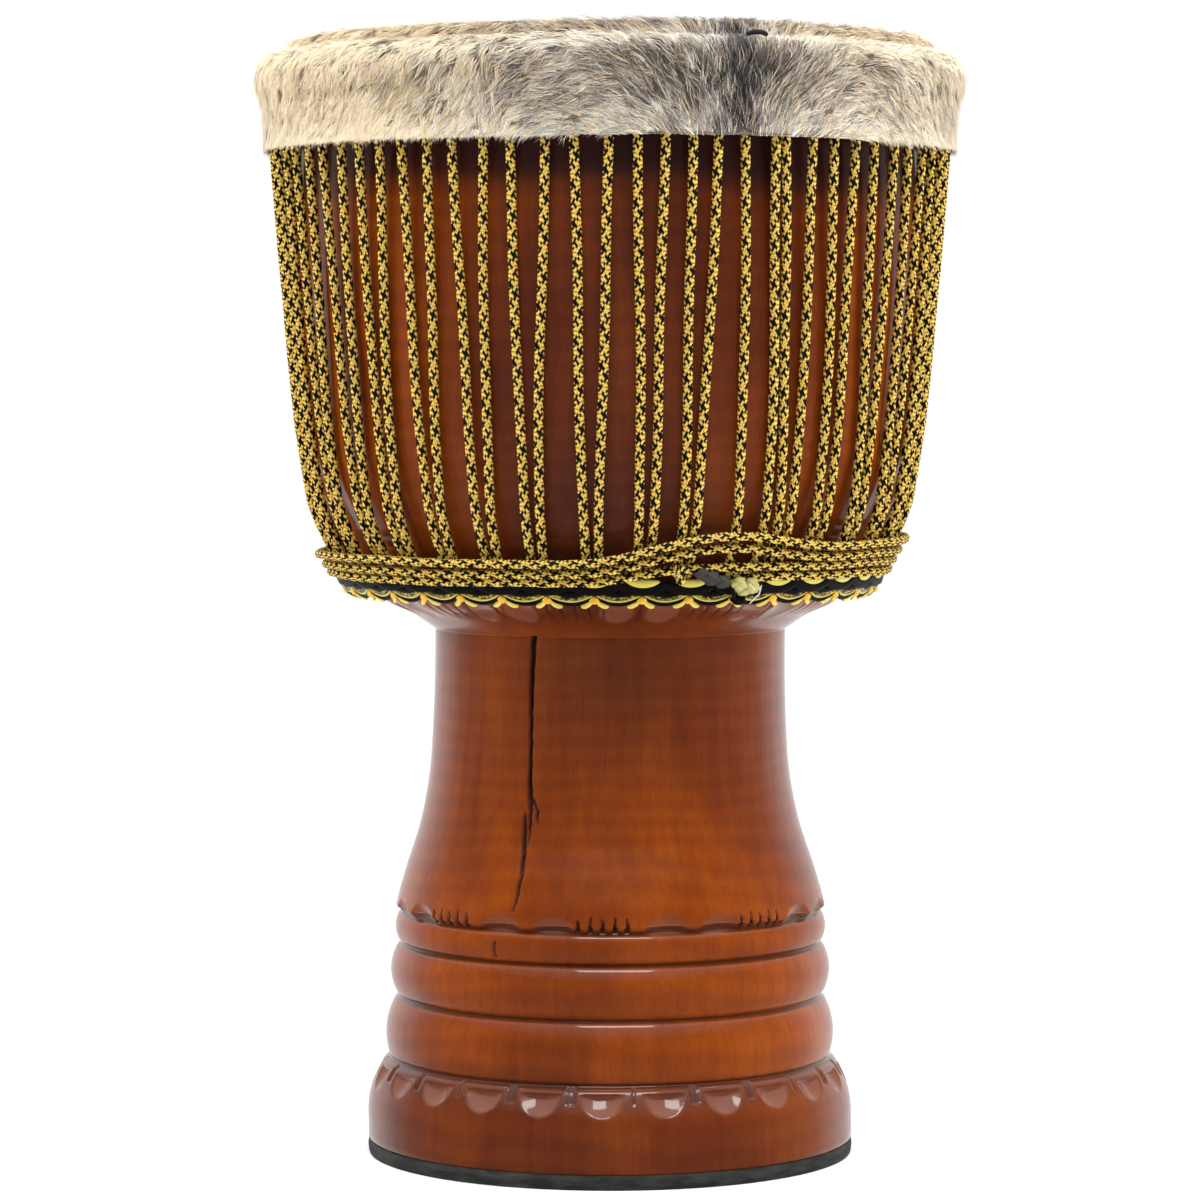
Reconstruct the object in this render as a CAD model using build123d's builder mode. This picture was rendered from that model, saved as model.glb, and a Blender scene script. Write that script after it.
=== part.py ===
from build123d import *
import math
import os

# A rope-tuned djembe: a carved wooden goblet drum with a goat skin, held by
# two rings at the head, one ring under the bowl and one long lacing rope.
# Millimetres, +Z up. The drum axis is Z and the floor is z = 0.

# ---- driving dimensions ------------------------------------------------------
foot_r = 133.5          # outer radius of the foot
rubber_h = 8.0          # height of the rubber ring under the foot
rubber_inner_r = 117.0
waist_r = 96.2          # narrowest part of the stem
bowl_r = 176.8          # widest part of the bowl, under the collar
edge_z = 608.0          # top of the bearing edge
edge_r = 169.0          # crest of the bearing edge
wall = 14.0             # wall of the bowl

rope_r = 2.5            # lacing rope
loop_r = 1.5            # cord of the crown loops
cord_r = 1.1            # cord of the bottom loops
swag_r = 1.3            # cradle cord under the bottom ring
pair_count = 37         # crown loops, and bottom loops
pitch = 360.0 / pair_count
gap = 0.1               # free space left between neighbours that touch

crown_ring_z = 590.0
crown_ring_r = 184.5
flesh_ring_z = 578.8
flesh_ring_r = 181.0
ring_rod_r = 3.0        # steel rod of the two head rings
bottom_ring_z = 314.1
bottom_ring_r = 139.5
bottom_rod_r = 2.75

skin_t = 1.2            # goat hide
collar_low_z = 550.0    # cut edge of the furry collar

foot_gouges = 24        # scallops carved in the top edge of the foot
flare_groups = 8        # groups of teeth and arches on the lower edge of the flare

front = -90.0           # angle of the drum's front, from +X
first_pair = front - 5.2    # angle of the lacing pair nearest the front
first_swag = front - 3.3    # angle of the upper swag nearest the front
# hand lacing is never quite even: how far some pairs of runs and some arches of the
# rope stand from their even place, in degrees, counted from the first pair
pair_lean = {-6: 0.4, -5: 0.9, -4: -0.4, -3: 0.4, -2: 0.8, -1: 0.4, 0: 1.6, 1: 2.0, 2: 0.3,
             3: 3.1, 4: 0.5, 5: -0.5, 6: -0.2, 7: -0.5, 8: -0.3}
arch_lean = {-7: 0.5, -6: 0.9, -5: 1.3, -4: 0.9, -3: 0.9, -2: 1.3, -1: 1.9, 0: 2.4, 1: 1.6,
             2: 0.6, 3: -0.6, 4: -1.8, 5: -2.2, 6: -1.6, 7: -1.0, 8: -0.5}
wide_pair = 3           # its two runs stand further apart than the others
rope_starts_at = 4      # the pair where the lacing begins; it ends at the pair before

os.makedirs("parts", exist_ok=True)


def write(builder, name):
    """Label a finished piece and write its STEP file."""
    builder.part.label = name
    export_step(builder.part, "parts/" + name + ".step")


def polar(r, angle, z):
    """A point at radius r and height z, angle in degrees from +X."""
    a = math.radians(angle)
    return Vector(r * math.cos(a), r * math.sin(a), z)


def ring(radius, z, rod):
    """A closed ring of round rod."""
    with BuildPart() as body:
        with BuildSketch(Plane.XZ):
            with Locations((radius, z)):
                Circle(rod)
        revolve(axis=Axis.Z)
    return body


# ---- shell: one piece of wood, carved outside and hollow ------------------------
groove_3 = (120.8, 53.6)    # groove above the foot
groove_2 = (116.2, 87.2)
groove_1 = (115.0, 116.6)
groove_0 = (114.8, 133.6)   # groove under the flare

with BuildPart() as shell:
    with BuildSketch(Plane.XZ):
        with BuildLine():
            # foot band and its rounded top edge
            Line((rubber_inner_r, rubber_h), (foot_r, rubber_h))
            Line((foot_r, rubber_h), (foot_r, 22.0))
            ThreePointArc((foot_r, 22.0), (131.2, 37.6), (124.6, 50.8))
            Line((124.6, 50.8), groove_3)
            # three carved rings
            Line(groove_3, (122.0, 55.4))
            ThreePointArc((122.0, 55.4), (123.6, 66.6), (118.8, 84.8))
            Line((118.8, 84.8), groove_2)
            Line(groove_2, (118.4, 89.6))
            ThreePointArc((118.4, 89.6), (121.1, 99.5), (117.6, 114.2))
            Line((117.6, 114.2), groove_1)
            Line(groove_1, (117.4, 118.6))
            ThreePointArc((117.4, 118.6), (118.7, 124.4), (117.2, 131.4))
            Line((117.2, 131.4), groove_0)
            Line(groove_0, (118.2, 136.4))
            # flaring stem up to the crease under the bowl
            Spline((118.2, 136.4), (112.4, 157.9), (104.4, 182.7), (99.5, 207.6),
                   (97.1, 240.0), (waist_r, 276.0),
                   tangents=[(-0.12, 1.0), (-0.02, 1.0)])
            Line((waist_r, 276.0), (waist_r, 289.5))
            # underside of the bowl
            Spline((waist_r, 289.5), (108.8, 297.6), (123.6, 304.4), (134.8, 317.2),
                   (147.0, 339.0), tangents=[(1.0, 0.75), (0.6, 1.0)])
            # bowl, and the slight narrowing under the collar
            ThreePointArc((147.0, 339.0), (157.8, 361.0), (163.7, 381.0))
            ThreePointArc((163.7, 381.0), (166.2, 395.0), (168.1, 410.0))
            ThreePointArc((168.1, 410.0), (173.5, 468.0), (bowl_r, 538.0))
            ThreePointArc((bowl_r, 538.0), (176.7, 568.0), (175.2, 597.0))
            # bearing edge
            ThreePointArc((175.2, 597.0), (173.4, 604.8), (edge_r, edge_z))
            Line((edge_r, edge_z), (edge_r - 6.0, 602.0))
            # inside of the bowl, throat and foot
            Spline((edge_r - 6.0, 602.0), (bowl_r - wall, 545.0), (156.4, 436.0),
                   (143.0, 368.0), (112.0, 328.0), (76.0, 306.0), (71.0, 285.0),
                   tangents=[(0.0, -1.0), (0.0, -1.0)])
            Spline((71.0, 285.0), (74.0, 210.0), (90.0, 118.0), (rubber_inner_r - 2.0, rubber_h),
                   tangents=[(0.0, -1.0), (0.35, -1.0)])
            Line((rubber_inner_r - 2.0, rubber_h), (rubber_inner_r, rubber_h))
        make_face()
    revolve(axis=Axis.Z)
    # scallops gouged in the top edge of the foot
    with Locations((0, 0, 50.0)):
        with PolarLocations(139.0, foot_gouges, start_angle=front - 2.0):
            Sphere(15.0, mode=Mode.SUBTRACT)
    # on the lower edge of the flare: five narrow teeth, then two round arches
    for tooth in range(-2, 3):
        with Locations((0, 0, 138.4)):
            with PolarLocations(117.9, flare_groups, start_angle=front - 2.0 + 3.2 * tooth):
                Cone(1.6, 0.3, 7.0, mode=Mode.SUBTRACT)
    for arch in (14.9, 29.9):
        with Locations((0, 0, 134.2)):
            with PolarLocations(135.0, flare_groups, start_angle=front + arch):
                Sphere(20.0, arc_size1=0, mode=Mode.SUBTRACT)
write(shell, "shell")

# ---- rubber ring that the foot stands on ------------------------------------------
with BuildPart() as foot_rubber:
    with BuildSketch(Plane.XZ):
        with BuildLine():
            Polyline((rubber_inner_r, 0), (foot_r - 0.6, 0))
            ThreePointArc((foot_r - 0.6, 0), (foot_r + 0.1, 3.6), (foot_r - 0.4, rubber_h))
            Polyline((foot_r - 0.4, rubber_h), (rubber_inner_r, rubber_h), (rubber_inner_r, 0))
        make_face()
    revolve(axis=Axis.Z)
write(foot_rubber, "foot_rubber")

# ---- goat skin ---------------------------------------------------------------------
# The hide lies over the bearing edge, goes down inside the rings, under and round
# the flesh ring, up inside the crown ring, and folds out and down as a furry collar.
fold_r = 3.8            # hide's middle line around the flesh ring
with BuildPart() as goatskin:
    with BuildSketch(Plane.XZ):
        with BuildLine() as hide_line:
            Line((0.0, edge_z + 0.7), (edge_r - 1.0, edge_z + 0.7))
            ThreePointArc((edge_r - 1.0, edge_z + 0.7), (174.4, 605.4), (176.2, 597.4))
            Polyline((176.2, 597.4), (176.3, 585.5), (flesh_ring_r - fold_r, flesh_ring_z))
            ThreePointArc((flesh_ring_r - fold_r, flesh_ring_z), (flesh_ring_r, flesh_ring_z - fold_r),
                          (flesh_ring_r + fold_r, flesh_ring_z))
            ThreePointArc((flesh_ring_r + fold_r, flesh_ring_z), (183.7, 581.5),
                          (flesh_ring_r, flesh_ring_z + fold_r))
            Polyline((flesh_ring_r, flesh_ring_z + fold_r), (178.6, 583.6), (177.55, 586.0),
                     (177.55, 594.0))
            ThreePointArc((177.55, 594.0), (185.2, 599.0), (192.3, 592.0))
            ThreePointArc((192.3, 592.0), (192.0, 584.0), (190.2, 577.0))
            Polyline((190.2, 577.0), (189.1, 566.0), (189.0, collar_low_z))
        trace(line_width=skin_t)
        # the hide ends on the drum's axis
        with Locations((-5.0, edge_z)):
            Rectangle(10.0, 20.0, mode=Mode.SUBTRACT)
    revolve(axis=Axis.Z)
write(goatskin, "goatskin")

# ---- rings -----------------------------------------------------------------------
flesh_ring = ring(flesh_ring_r, flesh_ring_z, ring_rod_r)
write(flesh_ring, "flesh_ring")
crown_ring = ring(crown_ring_r, crown_ring_z, ring_rod_r)
write(crown_ring, "crown_ring")
bottom_ring = ring(bottom_ring_r, bottom_ring_z, bottom_rod_r)
write(bottom_ring, "bottom_ring")

# ---- crown loops -------------------------------------------------------------------
# Each loop of cord takes one turn round the crown ring and hangs outside the flesh
# ring; its lower bend goes under an arch of the lacing rope, one leg in front of the
# arch and one behind it.


def tube(path, radius):
    """A round cord along a wire, made at the wire's own start."""
    with BuildPart() as body:
        with BuildSketch(Plane(origin=path @ 0, z_dir=path % 0)):
            Circle(radius)
        sweep(path=path)
    return body


def copies(body, name, angles):
    """The same piece, made on the +X side, at each of these angles."""
    with BuildPart() as group:
        with Locations(*[Location((0, 0, 0), (0, 0, a)) for a in angles]):
            add(body.part)
    write(group, name)
    return group


def around_drum(index):
    """A pair's number, counted both ways from the front."""
    return index if index <= pair_count // 2 else index - pair_count


def pair_angle(index):
    """Where two runs of the rope come together at the bottom."""
    return first_pair + pitch * index + pair_lean.get(around_drum(index), 0.0)


def arch_angle(index):
    """The top of the rope between one pair and the next."""
    return first_pair + pitch * (index + 0.5) + arch_lean.get(around_drum(index), 0.0)


pair_order = range(rope_starts_at, rope_starts_at + pair_count)


def loop_path(points, radii):
    """A loop of cord; its two ends butt together half way up the first run."""
    first = Vector(*points[-1])
    second = Vector(*points[0])
    joint = (first + second) / 2
    ends = (second - first).normalized() * gap
    corners = [joint + ends] + [Vector(*p) for p in points] + [joint - ends]
    with BuildLine() as route:
        FilletPolyline(*corners, radius=radii)
    return route.wires()[0]


over_rod = ring_rod_r + loop_r + gap
crown_loop_points = [
    (186.9, -3.5, flesh_ring_z),
    (crown_ring_r + over_rod, -3.4, crown_ring_z - 1.0),
    (crown_ring_r + over_rod - 0.6, -2.6, crown_ring_z + over_rod),
    (crown_ring_r - over_rod, -1.0, crown_ring_z + over_rod),
    (crown_ring_r - over_rod, 1.6, crown_ring_z - over_rod),
    (crown_ring_r + 2.6, 3.4, crown_ring_z - over_rod - 0.3),
    (187.6, 3.5, flesh_ring_z - 1.0),
    (186.4, 3.5, 571.5),
    (179.8, 3.5, 564.0),
    (180.2, 3.5, 556.5),
    (186.5, -3.5, 556.5),
]
crown_loop_radii = [8.0, 4.0, 3.6, 4.0, 4.2, 2.6, 3.0, 3.4, 3.0, 2.6, 2.6]
crown_loop = tube(loop_path(crown_loop_points, crown_loop_radii), loop_r)
crown_loops = copies(crown_loop, "crown_loops", [arch_angle(i) for i in pair_order])

# ---- bottom loops ------------------------------------------------------------------
# A link of cord joins the bottom ring to each lower bend of the lacing rope.
bend_r = 147.5          # centre of the rope's lower bend
bend_z = 324.3
link_r = bottom_rod_r + cord_r + gap
link_along = Vector(bend_r - bottom_ring_r, 0, bend_z - bottom_ring_z).normalized()
link_across = Vector(link_along.Z, 0, -link_along.X)
ring_end = Vector(bottom_ring_r, 0, bottom_ring_z) - link_along * link_r
rope_end_of_link = Vector(bend_r, 0, bend_z) + link_along * link_r
bottom_loop_points = [
    ring_end + link_across * link_r,
    rope_end_of_link + link_across * link_r,
    rope_end_of_link - link_across * link_r,
    ring_end - link_across * link_r,
]
# the joint of this link lies under the ring, so the list starts beside it
bottom_loop = tube(loop_path([tuple(p) for p in bottom_loop_points], [link_r * 0.96] * 4), cord_r)
bottom_loops = copies(bottom_loop, "bottom_loops", [pair_angle(i) for i in pair_order])

# ---- cradle cords ------------------------------------------------------------------
# Two rows of short swags of flat cord lie over the ring and its loops.


def swag(r_end, z_end, r_low, z_low, half_angle, centre_angle):
    """One swag, hanging between two points of the ring."""
    with BuildLine() as line:
        ThreePointArc(polar(r_end, centre_angle - half_angle, z_end),
                      polar(r_low, centre_angle, z_low),
                      polar(r_end, centre_angle + half_angle, z_end))
    return tube(line.wires()[0], swag_r)


swag_angles = [first_swag + pitch * i for i in range(pair_count)]
upper_swags = copies(swag(149.4, 316.0, 147.4, 312.9, 4.5, 0.0), "upper_swags", swag_angles)
lower_swags = copies(swag(142.8, 307.9, 137.0, 307.4, 4.3, pitch / 2), "lower_swags", swag_angles)

# ---- lacing rope -------------------------------------------------------------------
# One rope zigzags up and down between the crown loops and the bottom loops.
half_low = 3.77         # half the distance between the two runs of a lower bend
run_points = [(159.5, 346.0), (169.6, 392.0), (177.5, 470.0)]
run_bend = 60.0         # radius of the rope's easy bends over the bowl
top_z = 564.0
top_in = 182.0
top_out = 184.6
top_bend = 6.6
arch_half = 2.2         # degrees from the middle of an arch to each of its runs
end_z = 551.0           # the two ends are tucked under the collar, side by side
end_spread = 0.85


def run_down(index, side):
    """One run from the top to its lower bend: corners and fillet radii."""
    half = half_low * (2.0 if around_drum(index) == wide_pair else 1.0)
    low = pair_angle(index) + side * math.degrees(half / bend_r)
    arch = arch_angle(index if side > 0 else index - 1)
    high = arch - side * arch_half
    top = polar(top_in if side > 0 else top_out, high, top_z)
    if index == pair_order[0] and side < 0:
        high = arch + end_spread
        top = polar(top_out - 0.8, high, end_z)
    if index == pair_order[-1] and side > 0:
        high = arch - end_spread
        top = polar(top_out - 0.8, high, end_z)
    corners = [(top, top_bend)]
    for r, z in reversed(run_points):
        share = (z - bend_z) / (top_z - bend_z)
        corners.append((polar(r, low + (high - low) * share, z), run_bend))
    corners.append((polar(bend_r, low, bend_z), half_low * 0.98))
    return corners


lace = []
for index in pair_order:
    lace += run_down(index, -1)
    lace += reversed(run_down(index, 1))
with BuildLine() as lace_line:
    FilletPolyline(*[point for point, bend in lace], radius=[bend for point, bend in lace[1:-1]])
print("lacing rope length", round(lace_line.wires()[0].length))
lacing_rope = tube(lace_line.wires()[0], rope_r)
print("lacing rope volume over section times length",
      lacing_rope.part.volume / (math.pi * rope_r ** 2 * lace_line.wires()[0].length))
write(lacing_rope, "lacing_rope")

# ---- horizontal wraps --------------------------------------------------------------
# What is left of the rope is wound round the lower bends of the lacing: three turns
# all round, and a fourth that starts at the back and stops near the front. Each turn
# changes to the next one's level behind the drum. The turns sit lower left of the
# front, where there are three, and ride over the rope's end right of it.
wrap_levels = [(159.8, 330.2), (156.4, 324.6), (153.9, 320.0), (154.0, 320.0)]
wrap_rise = [8.0, 7.8, 6.4, 0.0]        # how much higher each turn is on the right
wrap_hump = [6.3, 6.2, 1.9, 0.0]        # and again over the rope's end
wrap_step = 10.0        # degrees between the corners of the route
wrap_total = 1230.0     # degrees from the back round to the rope's end
wrap_start = 90.0       # the back of the drum


def wrap_lift(level, off_front):
    """How far a turn stands above its level at an angle from the front."""
    steep = 4.0 if level < 2 else 1.5
    start = 5.0 if level < 2 else 14.0
    rise = 1.0 / (1.0 + math.exp((start - off_front) / steep))
    fade = 0.5 + 0.5 * math.cos(math.radians(2.0 * max(off_front - 90.0, 0.0)))
    return wrap_rise[level] * rise * fade + wrap_hump[level] * math.exp(-((off_front - 23.0) / 13.0) ** 2)


def wrap_point(turned):
    """A point of the wound rope, so many degrees from its start."""
    level = min(int(turned // 360.0), 3)
    share = min((turned - 360.0 * level) / 40.0, 1.0)
    before = wrap_levels[max(level - 1, 0)]
    here = wrap_levels[level]
    off_front = 180.0 - (turned - 360.0 * level)
    lift = wrap_lift(level, off_front) * share
    r = before[0] + (here[0] - before[0]) * share
    z = before[1] + (here[1] - before[1]) * share
    return polar(r + 0.3 * lift, wrap_start - turned, z + lift)


wrap_corners = [wrap_point(i * wrap_step) for i in range(int(wrap_total / wrap_step) + 1)]
with BuildLine() as wrap_line:
    FilletPolyline(*wrap_corners, radius=120.0)
print("wound rope length", round(wrap_line.wires()[0].length))
rope_wraps = tube(wrap_line.wires()[0], rope_r)
write(rope_wraps, "rope_wraps")

# ---- end of the rope: taped, cut and melted -----------------------------------------
end_angle = wrap_start - wrap_total + 1080.0
with BuildPart() as rope_end:
    with BuildLine() as end_line:
        Spline(wrap_corners[-1], polar(153.6, end_angle - 4.0, 319.4),
               polar(154.0, end_angle - 8.5, 318.2), polar(154.2, end_angle - 12.5, 320.6))
    with BuildSketch(Plane(origin=end_line.wires()[0] @ 0, z_dir=end_line.wires()[0] % 0)):
        Circle(rope_r + 0.2)
    sweep(path=end_line.wires()[0])
    with Locations(polar(155.2, end_angle - 3.6, 317.6)):
        Sphere(4.3)
write(rope_end, "rope_end")

# ---- black thread stitched through the hide on top of the collar ---------------------
with BuildLine() as stitch_line:
    ThreePointArc(polar(186.2, front + 22.6, 600.4), polar(185.4, front + 23.7, 601.4),
                  polar(184.4, front + 24.9, 600.4))
stitch_thread = tube(stitch_line.wires()[0], 0.6)
write(stitch_thread, "stitch_thread")
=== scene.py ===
"""A rope-tuned djembe: carved and varnished wood, braided rope and goat hair,
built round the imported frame. Lengths are millimetres until a mesh is made."""
import math

import bpy
import numpy as np
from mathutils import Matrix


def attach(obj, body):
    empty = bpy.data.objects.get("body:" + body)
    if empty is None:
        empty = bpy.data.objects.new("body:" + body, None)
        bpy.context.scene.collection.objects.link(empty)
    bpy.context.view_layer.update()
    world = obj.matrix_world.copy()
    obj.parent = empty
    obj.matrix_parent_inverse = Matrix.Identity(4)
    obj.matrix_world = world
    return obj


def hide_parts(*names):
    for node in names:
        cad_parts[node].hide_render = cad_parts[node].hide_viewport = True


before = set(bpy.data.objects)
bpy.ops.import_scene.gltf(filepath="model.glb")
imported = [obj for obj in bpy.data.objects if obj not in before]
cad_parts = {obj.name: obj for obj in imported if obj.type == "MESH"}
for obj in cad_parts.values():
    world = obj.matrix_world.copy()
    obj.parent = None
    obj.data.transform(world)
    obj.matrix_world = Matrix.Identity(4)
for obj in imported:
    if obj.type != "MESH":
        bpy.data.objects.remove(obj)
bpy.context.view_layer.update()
MM = 0.001
FRONT = -90.0           # angle of the drum's front, from +X
seeded = np.random.default_rng(11)


# ---- meshes ----------------------------------------------
def new_mesh(name, points, faces, materials, pick=None, smooth=True, layers=None):
    """A mesh object of equal-sided faces, from arrays in millimetres."""
    mesh = bpy.data.meshes.new(name)
    count, sides = faces.shape
    mesh.vertices.add(len(points))
    mesh.vertices.foreach_set("co", (points * MM).astype(np.float32).ravel())
    mesh.loops.add(count * sides)
    mesh.loops.foreach_set("vertex_index", faces.astype(np.int32).ravel())
    mesh.polygons.add(count)
    mesh.polygons.foreach_set("loop_start", np.arange(0, count * sides, sides, dtype=np.int32))
    mesh.polygons.foreach_set("use_smooth", np.full(count, smooth))
    for material in materials:
        mesh.materials.append(material)
    if pick is not None:
        mesh.polygons.foreach_set("material_index", pick.astype(np.int32))
    for layer, values in (layers or {}).items():
        attribute = mesh.attributes.new(layer, "FLOAT", "POINT")
        attribute.data.foreach_set("value", values.astype(np.float32))
    mesh.update(calc_edges=True)
    piece = bpy.data.objects.new(name, mesh)
    bpy.context.collection.objects.link(piece)
    return piece


def grid_faces(rows, columns, wrap=True, first=0):
    """Quads over a grid of points, row after row, closed round when wrap is set."""
    row, column = np.meshgrid(np.arange(rows - 1), np.arange(columns if wrap else columns - 1),
                              indexing="ij")
    after = (column + 1) % columns
    quads = [row * columns + column, row * columns + after,
             (row + 1) * columns + after, (row + 1) * columns + column]
    return first + np.stack(quads, axis=-1).reshape(-1, 4)


def repeated(faces, count, points_each):
    """One small shape's faces for each of several copies of its points."""
    return (np.arange(count)[:, None, None] * points_each + faces[None]).reshape(-1, 3)


def polar(radius, degrees, height):
    """Points from radius, angle and height."""
    turn = np.radians(degrees)
    return np.stack([radius * np.cos(turn), radius * np.sin(turn),
                     height + np.zeros_like(turn)], axis=-1)


def turned_points(outline, columns):
    """An outline of (radius, height) points carried round the axis."""
    ring = np.arange(columns) * 360.0 / columns
    return np.vstack([polar(np.full(columns, r), ring, z) for r, z in outline])


def arc(start, middle, end, steps):
    """Points of the circle through three points, without the last one."""
    (ax, ay), (bx, by), (cx, cy) = start, middle, end
    d = 2 * (ax * (by - cy) + bx * (cy - ay) + cx * (ay - by))
    ux = ((ax**2 + ay**2) * (by - cy) + (bx**2 + by**2) * (cy - ay)
          + (cx**2 + cy**2) * (ay - by)) / d
    uy = ((ax**2 + ay**2) * (cx - bx) + (bx**2 + by**2) * (ax - cx)
          + (cx**2 + cy**2) * (bx - ax)) / d
    first = math.atan2(ay - uy, ax - ux)
    turn = math.atan2(cy - uy, cx - ux) - first
    half = math.atan2(by - uy, bx - ux) - first
    turn, half = turn % (2 * math.pi), half % (2 * math.pi)
    if half > turn:
        turn -= 2 * math.pi
    at = first + turn * np.arange(steps) / steps
    radius = math.hypot(ax - ux, ay - uy)
    return np.stack([ux + radius * np.cos(at), uy + radius * np.sin(at)], axis=-1)


def line(start, end, steps):
    """Points of a straight stretch, without the last one."""
    share = np.arange(steps)[:, None] / steps
    return np.array(start) * (1 - share) + np.array(end) * share


def curve(points, spacing):
    """Points of a smooth curve through the given ones, without the last one."""
    p = np.array(points, dtype=float)
    p = np.vstack([2 * p[0] - p[1], p, 2 * p[-1] - p[-2]])
    found = []
    for a, b, c, d in zip(p[:-3], p[1:-2], p[2:-1], p[3:]):
        gap = np.linalg.norm(c - b)
        before = np.linalg.norm(b - a)
        after = np.linalg.norm(d - c)
        leave = ((b - a) / before * gap + (c - b) * before / gap) / (before + gap) * gap
        reach = ((d - c) / after * gap + (c - b) * after / gap) / (after + gap) * gap
        t = np.arange(max(int(gap / spacing), 1))[:, None] / max(int(gap / spacing), 1)
        found.append((2 * t**3 - 3 * t**2 + 1) * b + (t**3 - 2 * t**2 + t) * leave
                     + (3 * t**2 - 2 * t**3) * c + (t**3 - t**2) * reach)
    return np.vstack(found)


def directions(path):
    """The unit vector along a path at each of its points."""
    along = np.gradient(path, axis=0)
    return along / np.linalg.norm(along, axis=1)[:, None]


def distances(path):
    """How far along a path each of its points lies."""
    steps = np.linalg.norm(np.diff(path, axis=0), axis=1)
    return np.concatenate([[0], np.cumsum(steps)])


def unit(value):
    """A value kept between 0 and 1."""
    return np.clip(value, 0, 1)


def bump(distance):
    """A smooth round hump: 1 at distance 0, nothing from distance 1 on."""
    return unit(1 - distance**2)


def turned(degrees, centre, period=360.0):
    """Signed angle from the nearest repeat of centre."""
    return (degrees - centre + period / 2) % period - period / 2


# ---- materials -------------------------------------------
def material(name, colour=(0.5, 0.5, 0.5), **values):
    """A node material with a Principled shader whose constant values are set."""
    made = bpy.data.materials.new(name)
    made.use_nodes = True
    shader = made.node_tree.nodes["Principled BSDF"]
    shader.inputs["Base Color"].default_value = (*colour, 1)
    for socket, value in values.items():
        shader.inputs[socket.replace("_", " ")].default_value = value
    return made, made.node_tree, shader


def stretched(tree, scale):
    """Object coordinates, in metres, scaled on each axis."""
    where = tree.nodes.new("ShaderNodeTexCoord")
    mapping = tree.nodes.new("ShaderNodeMapping")
    mapping.inputs["Scale"].default_value = scale
    tree.links.new(where.outputs["Object"], mapping.inputs["Vector"])
    return mapping.outputs["Vector"]


def noise(tree, scale, detail=3.0, roughness=0.55, distortion=0.0):
    """A noise texture's factor, with a scale for each axis."""
    node = tree.nodes.new("ShaderNodeTexNoise")
    for socket, value in (("Vector", stretched(tree, scale)), ("Scale", 1.0), ("Detail", detail),
                          ("Roughness", roughness), ("Distortion", distortion)):
        feed(tree, node.inputs[socket], value)
    return node.outputs["Fac"]


def ramp(tree, factor, stops):
    """A colour ramp through (position, colour) stops."""
    node = tree.nodes.new("ShaderNodeValToRGB")
    elements = node.color_ramp.elements
    while len(elements) < len(stops):
        elements.new(0.5)
    for element, (position, colour) in zip(elements, stops):
        element.position = position
        element.color = (*colour, 1)
    tree.links.new(factor, node.inputs["Fac"])
    return node.outputs["Color"]


def feed(tree, socket, value):
    """Links an output to a socket, or sets the socket to a number or a colour."""
    if isinstance(value, bpy.types.NodeSocket):
        tree.links.new(value, socket)
    else:
        socket.default_value = (*value, 1) if isinstance(value, tuple) else value


def mix(tree, factor, first, second):
    """Two colours mixed by a factor."""
    node = tree.nodes.new("ShaderNodeMix")
    node.data_type = "RGBA"
    for number, value in ((0, factor), (6, first), (7, second)):
        feed(tree, node.inputs[number], value)
    return node.outputs[2]


def maths(tree, operation, first, second=0.0, third=0.0):
    """One maths node over outputs or numbers."""
    node = tree.nodes.new("ShaderNodeMath")
    node.operation = operation
    for socket, value in zip(node.inputs, (first, second, third)):
        feed(tree, socket, value)
    return node.outputs[0]


def relief(tree, shader, height, strength, distance):
    """Bump from a height output."""
    node = tree.nodes.new("ShaderNodeBump")
    node.inputs["Strength"].default_value = strength
    node.inputs["Distance"].default_value = distance
    tree.links.new(height, node.inputs["Height"])
    tree.links.new(node.outputs["Normal"], shader.inputs["Normal"])


def layer(tree, name):
    """A mesh layer's value at the shaded point."""
    node = tree.nodes.new("ShaderNodeAttribute")
    node.attribute_name = name
    return node.outputs["Fac"]


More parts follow.
